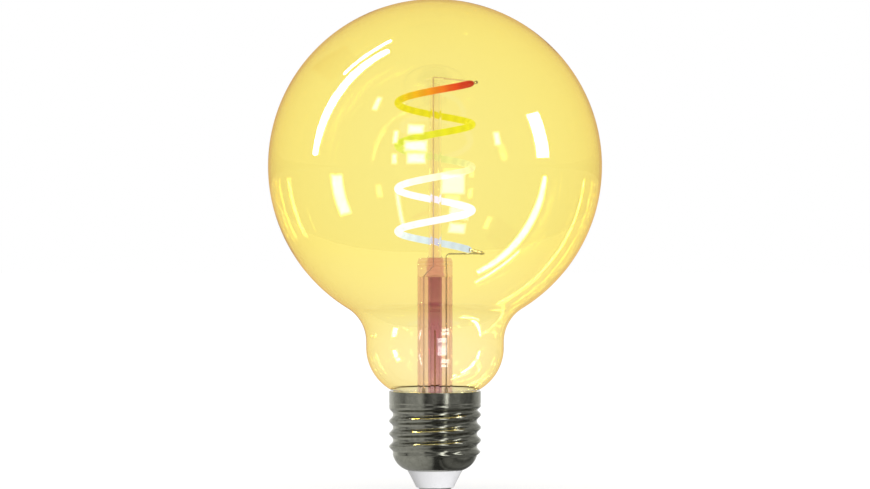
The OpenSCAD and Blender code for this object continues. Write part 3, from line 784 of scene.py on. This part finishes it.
def make_contact():
    """The stamped tip contact: a flat face with a shallow ring and a solder-filled shank."""
    edge = 1
    blind_z = CONTACT_H + 1.4
    shank_top = INSULATOR_FLOOR + 0.3
    outline = [(0, 0), (1.6, 0), (1.75, 0.09), (2.05, 0.09), (2.2, 0)]
    outline += arc(CONTACT_R - edge, edge, edge, -90, 0, 14)
    outline += arc(CONTACT_R - 0.05, CONTACT_H - 0.05, 0.05, 0, 90, 3)
    outline += [(CONTACT_SHANK_R, CONTACT_H), (CONTACT_SHANK_R, shank_top), (CONTACT_BORE, shank_top)]
    outline += [(CONTACT_BORE, blind_z), (0, blind_z)]
    material = mottled("contact_nickel", (0.45, 0.45, 0.43), (0.62, 0.61, 0.58), 0.5, (0.2, 0.38),
                       0.012, (0.4, 0.4, 1), Metallic=1)
    return piece("Tip_contact", lathe(outline, 96), material, ["centre_contact"], 32)


# ---------------------------------------------------------------- CAD pieces that stay


def circuit_board(name, dark, light, rough):
    """Solder mask with the raised lines of the tracks beneath it."""
    material, tree, shader = new_material(name)
    tracks = add(tree, "ShaderNodeTexBrick", {"Vector": place(tree), "Scale": 0.45,
                 "Mortar Size": 0.05, "Color1": (0, 0, 0, 1), "Color2": (0.2, 0.2, 0.2, 1),
                 "Mortar": (1, 1, 1, 1)}).outputs["Color"]
    weave = grain(tree, 0.25, 2.0)
    mixed = maths(tree, "ADD", maths(tree, "MULTIPLY", tracks, 0.6), maths(tree, "MULTIPLY", weave, 0.4))
    tree.links.new(ramp(tree, mixed, [(0.1, dark), (0.8, light)]), shader.inputs["Base Color"])
    tree.links.new(between(tree, weave, *rough), shader.inputs["Roughness"])
    relief(tree, shader, mixed, 0.03)
    return material


def wound_copper():
    """Enamelled wire: fine turns side by side, with painted shade darkening the grooves between them."""
    material, tree, shader = new_material("copper")
    turns = add(tree, "ShaderNodeTexWave", {"Vector": place(tree), "Scale": 0.9, "Distortion": 0.4},
                wave_type="BANDS", bands_direction="Y").outputs["Fac"]
    # The colour follows the relief, so the grooves between the turns are darkened as painted shade.
    tree.links.new(ramp(tree, turns, [(0.1, (0.22, 0.06, 0.02)), (0.8, (0.78, 0.32, 0.14))]),
                   shader.inputs["Base Color"])
    tree.links.new(between(tree, grain(tree, 0.4), 0.25, 0.4), shader.inputs["Roughness"])
    relief(tree, shader, turns, 0.08)
    set_values(shader, Metallic=1)
    return material


def lead_nickel():
    return mottled("lead_nickel", (0.30, 0.27, 0.24), (0.50, 0.46, 0.42), 0.25, (0.22, 0.4),
                   0.008, (1, 1, 0.2), Metallic=1)


def lead_copper():
    """The matt pink borate skin of a copper-clad wire made to be sealed in glass."""
    return mottled("lead_copper", (0.88, 0.72, 0.66), (0.97, 0.84, 0.79), 0.25, (0.6, 0.75),
                   0.008, (1, 1, 0.2), Specular_IOR_Level=0.2)


def finish_cad_nodes():
    """Gives every CAD piece that stays its own procedural material."""
    solder = mottled("solder", (0.55, 0.56, 0.58), (0.80, 0.80, 0.82), 0.3, (0.2, 0.4), 0.02, Metallic=1)
    black = mottled("chip_black", (0.015, 0.015, 0.016), (0.035, 0.035, 0.036), 0.15, (0.45, 0.65), 0.01)
    finishes = {
        "contact_solder": solder,
        "shell_weld": solder,
        "solder_joints": solder,
        "live_wire": mottled("wire_red", (0.42, 0.02, 0.015), (0.58, 0.04, 0.03), 0.4, (0.3, 0.5)),
        "neutral_wire": mottled("wire_blue", (0.02, 0.05, 0.30), (0.03, 0.09, 0.45), 0.4, (0.3, 0.5)),
        "board_sleeve": mottled("liner_plastic", (0.74, 0.74, 0.72), (0.84, 0.84, 0.82), 0.5, (0.4, 0.6)),
        "driver_board": circuit_board("circuit_board", (0.01, 0.09, 0.03), (0.04, 0.26, 0.10), (0.25, 0.4)),
        "radio_board": circuit_board("radio_mask", (0.01, 0.02, 0.09), (0.03, 0.07, 0.26), (0.25, 0.4)),
        "bulk_capacitor": mottled("capacitor_film", (0.02, 0.03, 0.14), (0.04, 0.06, 0.24), 0.6, (0.2, 0.35)),
        "choke_core": mottled("ferrite", (0.025, 0.024, 0.024), (0.07, 0.068, 0.066), 0.12, (0.5, 0.75)),
        "choke_winding": wound_copper(),
        "fuse_resistor": mottled("resistor_body", (0.06, 0.20, 0.10), (0.12, 0.34, 0.18), 0.3, (0.35, 0.55)),
        "varistor": mottled("varistor_blue", (0.01, 0.06, 0.30), (0.02, 0.12, 0.48), 0.3, (0.3, 0.5), 0.02),
        "bridge_rectifier": black,
        "driver_chip": black,
        "radio_chip": black,
        "chip_resistors": black,
        "chip_capacitors": mottled("chip_ceramic", (0.38, 0.27, 0.15), (0.55, 0.42, 0.26), 0.2, (0.4, 0.6)),
        "radio_crystal": mottled("tin_plate", (0.60, 0.60, 0.62), (0.80, 0.80, 0.82), 0.4, (0.15, 0.3),
                                 0.01, Metallic=1),
        "radio_shield": mottled("tin_plate_can", (0.62, 0.62, 0.63), (0.82, 0.82, 0.83), 0.6, (0.15, 0.3),
                                0.01, Metallic=1),
        "antenna_wire": mottled("aerial_brass", (0.55, 0.38, 0.14), (0.72, 0.54, 0.24), 0.3, (0.2, 0.4),
                                0.01, Metallic=1),
        "lead_sleeves": mottled("sleeving", (0.74, 0.72, 0.66), (0.88, 0.86, 0.80), 0.2, (0.6, 0.8), 0.02),
    }
    for name, material in finishes.items():
        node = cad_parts[name]
        for slot in node.material_slots:
            slot.material = material


# ---------------------------------------------------------------- studio


# In metres. The lamps are all a metre from the globe's centre, and their edges fade over SOFT_EDGE.
STUDIO_R = 2.4
GLASS_DOME_R = 2.3
SOFT_EDGE = 0.022
CAMERA_DISTANCE = 0.96
CAMERA_Z = 0.0702
# In millimetres. The flag's heights are above the globe's centre, and the foot light's is above the collar.
CAMERA_LENS = 139.5
FLOOR_GAP = 0.05
FOOT_LIGHT_H = 7
FLAG_X = -60
FLAG_HALF_W = 20
FLAG_LOW = 48
FLAG_HIGH = 82
# Brightness, where 1 is white
LAMP_POWER = 60
WINDOW_POWER = 13
MIRRORED_WORLD = 0.85
FLOOR_GLOW = 0.66
GLASS_GLOW = (0.62, 0.36, 0.17)


def emission_material(name, colour, strength):
    """A plain light source. strength may be a value or, given a tree builder, a node output."""
    material = bpy.data.materials.new(name)
    material.use_nodes = True
    tree = material.node_tree
    tree.nodes.clear()
    shader = add(tree, "ShaderNodeEmission", {"Color": (*colour, 1)})
    level = strength(tree) if callable(strength) else strength
    if isinstance(level, bpy.types.NodeSocket):
        tree.links.new(level, shader.inputs["Strength"])
    else:
        shader.inputs["Strength"].default_value = level
    output = add(tree, "ShaderNodeOutputMaterial")
    tree.links.new(shader.outputs["Emission"], output.inputs["Surface"])
    material.cycles.emission_sampling = "NONE"
    return material, tree, shader, output


def stage_object(name, points, faces, material, glossy_only=True):
    """A mesh in metres that isn't part of the bulb. As a rule only mirrored rays see it."""
    mesh = bpy.data.meshes.new(name)
    mesh.from_pydata(points, [], faces)
    mesh.materials.append(material)
    made = bpy.data.objects.new(name, mesh)
    bpy.context.scene.collection.objects.link(made)
    if glossy_only:
        made.visible_camera = False
        made.visible_diffuse = False
        made.visible_transmission = False
        made.visible_volume_scatter = False
        made.visible_shadow = False
    return made


def card_level(tree, position, cards, brightest=3.0):
    """Brightness along a row of (position, level) cards."""
    low, high = cards[0][0], cards[-1][0]
    stops = [((at - low) / (high - low), [level / brightest] * 3) for at, level in cards]
    return maths(tree, "MULTIPLY", ramp(tree, between(tree, position, 0, 1, low, high), stops), brightest)


def add_dome(name, radius, material, lit):
    """A ball round the whole studio that only the lit pieces mirror."""
    points, faces = lathe(arc(0, 0, 1, -90, 90, 24), 48)
    light_only([stage_object(name, [p * radius for p in points], faces, material)], lit)


def make_dome(lit):
    """The studio that the cap's plating mirrors: cards all round, level with it, above it and below it."""
    def level(tree):
        """Brightness by direction, from three rows of cards."""
        direction = add(tree, "ShaderNodeVectorMath", {0: place(tree)}, operation="NORMALIZE")
        parts = add(tree, "ShaderNodeSeparateXYZ", {"Vector": direction.outputs["Vector"]}).outputs
        angle = maths(tree, "ARCTAN2", parts["X"], maths(tree, "MULTIPLY", parts["Y"], -1.0))
        turn = maths(tree, "MULTIPLY", angle, 180 / math.pi)
        round_cards = [(-180, 0.9), (-134, 0.85), (-116, 0.55), (-92, 0.30), (-82, 0.26), (-74, 0.46),
                       (-46, 0.48), (-38, 0.65), (-31, 0.48), (-25, 0.07), (-15, 0.14), (2, 0.28),
                       (25, 0.24), (28, 2.6), (31, 2.4), (34, 0.19), (50, 0.30), (63, 0.30), (74, 0.17),
                       (104, 0.14), (118, 0.38), (134, 0.55), (180, 0.9)]
        high_cards = [(-180, 0.5), (-40, 0.45), (-10, 0.15), (13, 0.15), (16, 3.0), (25, 3.0),
                      (29, 0.1), (69, 0.1), (72, 3.0), (80, 3.0), (84, 0.2), (180, 0.5)]
        under_cards = [(-1, 0.9), (-0.85, 0.62), (-0.3, 0.5), (-0.12, 0.36), (-0.03, 0.06), (0.15, 0.05),
                       (0.2, 0.22), (0.25, 0.06), (0.4, 0.22), (0.6, 0.2), (0.75, 0.1), (0.9, 0.35), (1, 0.8)]
        slope = parts["Z"]
        rows = [(card_level(tree, turn, round_cards),
                 between(tree, maths(tree, "ABSOLUTE", slope), 1, 0, 0.12, 0.3)),
                (card_level(tree, turn, high_cards), between(tree, slope, 0, 1, 0.12, 0.3)),
                (card_level(tree, parts["X"], under_cards), between(tree, slope, 1, 0, -0.3, -0.12))]
        total = 0.0
        for cards, share in rows:
            total = maths(tree, "ADD", total, maths(tree, "MULTIPLY", cards, share))
        return total

    add_dome("Studio_dome", STUDIO_R, emission_material("studio_dome", (1, 1, 0.96), level)[0], lit)


def make_glass_dome(lit):
    """The peach glow that the glass mirrors from its outside, in front of the other dome."""
    material, tree, shader, output = emission_material("glass_dome", GLASS_GLOW, 1)
    clear = add(tree, "ShaderNodeBsdfTransparent")
    both = add(tree, "ShaderNodeAddShader", {0: clear.outputs["BSDF"], 1: shader.outputs["Emission"]})
    tree.links.new(both.outputs["Shader"], output.inputs["Surface"])
    add_dome("Glass_dome", GLASS_DOME_R, material, lit)


def reflected_only(tree):
    """1 for light that a surface has mirrored, and 0 for anything seen straight or by matt surfaces."""
    path = add(tree, "ShaderNodeLightPath").outputs
    mirrored = maths(tree, "GREATER_THAN", path["Glossy Depth"], 0.5)
    matt = maths(tree, "GREATER_THAN", path["Diffuse Depth"], 0.5)
    return maths(tree, "SUBTRACT", mirrored, matt)


def lamp_material(name, strength, colour=(1, 1, 1)):
    """A lamp that shows only in reflections, and is clear otherwise."""
    material, tree, shader, output = emission_material(name, colour, strength)
    glow = add(tree, "ShaderNodeAttribute", attribute_name="glow").outputs["Fac"]
    clear = add(tree, "ShaderNodeBsdfTransparent")
    mix = add(tree, "ShaderNodeMixShader", {"Fac": maths(tree, "MULTIPLY", reflected_only(tree), glow),
              1: clear.outputs["BSDF"], 2: shader.outputs["Emission"]})
    tree.links.new(mix.outputs["Shader"], output.inputs["Surface"])
    return material


def softbox(name, azimuth, elevation, width, height, material):
    """A flat lamp a metre from the globe's centre, facing it. All four numbers are angles seen from there."""
    centre = Vector((0, 0, GLOBE_Z * MM))
    level = math.cos(math.radians(elevation))
    forward = turned(level, azimuth - 90, math.sin(math.radians(elevation)))
    right = forward.cross(Vector((0, 0, -1))).normalized()
    up = forward.cross(right).normalized()
    half_w, half_h = [math.tan(math.radians(angle / 2)) for angle in (width * level, height)]
    corners = [(-1, -1), (1, -1), (1, 1), (-1, 1)]
    points = []
    for soft in (-SOFT_EDGE, SOFT_EDGE):
        w = half_w + soft
        h = half_h + soft
        points += [centre + forward + right * (a * w) + up * (b * h) for a, b in corners]
    faces = [[0, 1, 2, 3]] + [[k, (k + 1) % 4, 4 + (k + 1) % 4, 4 + k] for k in range(4)]
    return glowing(stage_object(name, points, faces, material), [1] * 4 + [0] * 4)


def glowing(lamp, values):
    """Sets how brightly each corner of a lamp glows."""
    lamp.data.attributes.new("glow", "FLOAT", "POINT").data.foreach_set("value", values)
    lamp.visible_transmission = True
    return lamp


def strip_lamp(name, directions, width, material):
    """A long curved lamp through three directions, a metre from the globe's centre."""
    centre = Vector((0, 0, GLOBE_Z * MM))
    first, middle, last = [Vector(d).normalized() for d in directions]
    steps = 24
    path = []
    for i in range(steps + 1):
        t = i / steps
        bow = middle * 2 - (first + last) / 2
        path.append(((1 - t) ** 2 * first + 2 * t * (1 - t) * bow + t * t * last).normalized())
    points = []
    for i, here in enumerate(path):
        run = path[min(i + 1, steps)] - path[max(i - 1, 0)]
        across = here.cross(run).normalized()
        half = width / 2 * (0.25 + 0.75 * math.sin(math.pi * (0.08 + 0.84 * i / steps)))
        points += [centre + here + across * a for a in (-half - SOFT_EDGE, -half, half, half + SOFT_EDGE)]
    faces = [[4 * i + k, 4 * i + k + 1, 4 * i + k + 5, 4 * i + k + 4] for i in range(steps) for k in range(3)]
    return glowing(stage_object(name, points, faces, material), [0, 1, 1, 0] * (steps + 1))


def make_lamps(lit):
    """The studio lamps that the glass mirrors: long strips, side boxes and two windows with bars."""
    bright = lamp_material("softbox", LAMP_POWER)
    window = lamp_material("window", WINDOW_POWER)
    lamps = [strip_lamp("Strip_lamp", [(-0.995, -0.03, 0.09), (-0.82, -0.03, 0.57), (-0.37, 0.02, 0.93)],
                        0.088, bright)]
    lamps.append(strip_lamp("Thin_strip", [(-0.70, 0.12, 0.71), (-0.51, 0.13, 0.85), (-0.32, 0.18, 0.93)],
                            0.008, bright))
    lamps.append(softbox("Side_lamp", 77.5, 16, 9.5, 22, bright))
    lamps.append(softbox("Small_lamp_right", 43, 16, 3, 7, window))
    lamps.append(softbox("Small_lamp_left", -47.5, 38, 3, 7, window))
    upper_window = [(-13.5, 23, 10, 5), (-13, 12, 14, 6), (-12.5, 4, 11, 6)]
    lower_window = [(12, -13, 15, 12), (18, -31.5, 14, 9), (18.5, -42.5, 13, 6)]
    slits = [(-27, 17.5, 2, 7), (-27, 3.5, 2, 5), (-26, -28, 2, 24)]
    for row, pane in enumerate(upper_window + lower_window + slits):
        lamps.append(softbox(f"Window_{row}", *pane, window))
    light_only(lamps, lit)


def make_flag(lit):
    """A card beside the globe's crown, glowing as the dome does, that keeps the strip off its outline."""
    low, high = GLOBE_Z + FLAG_LOW, GLOBE_Z + FLAG_HIGH
    corners = [(-FLAG_HALF_W, low), (FLAG_HALF_W, low), (FLAG_HALF_W, high), (-FLAG_HALF_W, high)]
    points = [Vector((FLAG_X, y, z)) * MM for y, z in corners]
    flag = stage_object("Flag", points, [[0, 1, 2, 3]], lamp_material("flag", 1, GLASS_GLOW))
    light_only([glowing(flag, [1] * 4)], lit)


def light_only(lamps, lit):
    """Makes the lamps light and mirror in the lit pieces alone."""
    receivers = bpy.data.collections.new("Lit_" + lamps[0].name)
    for made in lit:
        receivers.objects.link(made)
    for lamp in lamps:
        lamp.light_linking.receiver_collection = receivers


def make_light(name, kind, lit, tilt=0, turn=0, **settings):
    """A light that only the lit pieces answer to. It points down until tilted, and then turns about Z."""
    data = bpy.data.lights.new(name, kind)
    for key, value in settings.items():
        setattr(data, key, value)
    light = bpy.data.objects.new(name, data)
    light.rotation_euler = (math.radians(tilt), 0, math.radians(turn))
    bpy.context.scene.collection.objects.link(light)
    light_only([light], lit)
    return light


def make_piece_lights(insulator, cement, clad_lead):
    """A key for the insulator, and shadowless daylight for two matt pieces behind the glass."""
    make_light("Key", "SUN", [insulator], 82, 20, energy=5.5, angle=math.radians(40))
    foot = make_light("Foot_light", "POINT", [cement], energy=0.0095, color=(0.92, 1, 1.25),
                      shadow_soft_size=0.001, use_shadow=False)
    foot.location.z = (COLLAR_TOP + FOOT_LIGHT_H) * MM
    foot.visible_camera = False
    foot.visible_glossy = False
    foot.visible_transmission = False
    for name, turn in (("Daylight_front", 0), ("Daylight_back", 180)):
        make_light(name, "SUN", [clad_lead], 80, turn, energy=2.2, angle=math.radians(120), use_shadow=False)


def make_floor():
    """A plain white floor that meets the white surroundings, with only a soft contact shadow."""
    material = bpy.data.materials.new("floor")
    material.use_nodes = True
    tree = material.node_tree
    shader = tree.nodes["Principled BSDF"]
    fine = grain(tree, 40, 2.0)
    tree.links.new(ramp(tree, fine, [(0.3, (0.40, 0.40, 0.40)), (0.7, (0.42, 0.42, 0.42))]),
                   shader.inputs["Base Color"])
    set_values(shader, Roughness=1, Specular_IOR_Level=0)
    set_values(shader, Emission_Color=(1, 1, 1, 1), Emission_Strength=FLOOR_GLOW)
    material.cycles.emission_sampling = "NONE"
    points, faces = lathe([(0, 0), (0.3, 0), (1, 0), (2, 0), (STUDIO_R * 3, 0)], 64)
    made = stage_object("Floor", points, faces, material, False)
    made.location.z = -FLOOR_GAP * MM
    made.visible_glossy = False


def make_world():
    """Even white light from all round, slightly dimmer in what the glass mirrors."""
    world = bpy.data.worlds.new("Studio")
    world.use_nodes = True
    background = world.node_tree.nodes["Background"]
    background.inputs["Color"].default_value = (1, 1, 1, 1)
    dimmer = between(world.node_tree, reflected_only(world.node_tree), 1, MIRRORED_WORLD, 0, 1)
    world.node_tree.links.new(dimmer, background.inputs["Strength"])
    world.cycles.sampling_method = "NONE"
    bpy.context.scene.world = world


def make_camera():
    """Level with the middle of the picture, in front of the bulb."""
    data = bpy.data.cameras.new("Camera")
    data.lens = CAMERA_LENS
    data.sensor_width = 36
    camera = bpy.data.objects.new("Camera", data)
    camera.location = (0, -CAMERA_DISTANCE, CAMERA_Z)
    camera.rotation_euler = (math.radians(90), 0, 0)
    bpy.context.scene.collection.objects.link(camera)
    bpy.context.scene.camera = camera


def set_light_paths():
    """Lets light through all the glass walls, and shows white as white."""
    scene = bpy.context.scene
    scene.view_settings.view_transform = "Standard"
    scene.cycles.max_bounces = 40
    scene.cycles.transmission_bounces = 40
    scene.cycles.glossy_bounces = 12
    scene.cycles.transparent_max_bounces = 24
    scene.cycles.sample_clamp_indirect = 0


# ---------------------------------------------------------------- the bulb in its studio


rod = rod_glass()
nickel = lead_nickel()
glass = [
    make_globe(amber_glass()),
    make_stem_tube(stem_glass()),
    make_press(press_glass()),
    make_exhaust_tube(exhaust_glass()),
    make_rod(rod),
    make_button(rod),
]
make_coat()
make_strip()
make_chips()
make_terminals(nickel)
clad_lead = make_leads(nickel, lead_copper())
shell = make_shell()
cement = make_cement()
insulator = make_insulator()
contact = make_contact()
finish_cad_nodes()
make_dome([shell, insulator, contact])
make_glass_dome(glass)
make_piece_lights(insulator, cement, clad_lead)
make_lamps(glass)
make_flag(glass)
make_floor()
make_world()
make_camera()
set_light_paths()
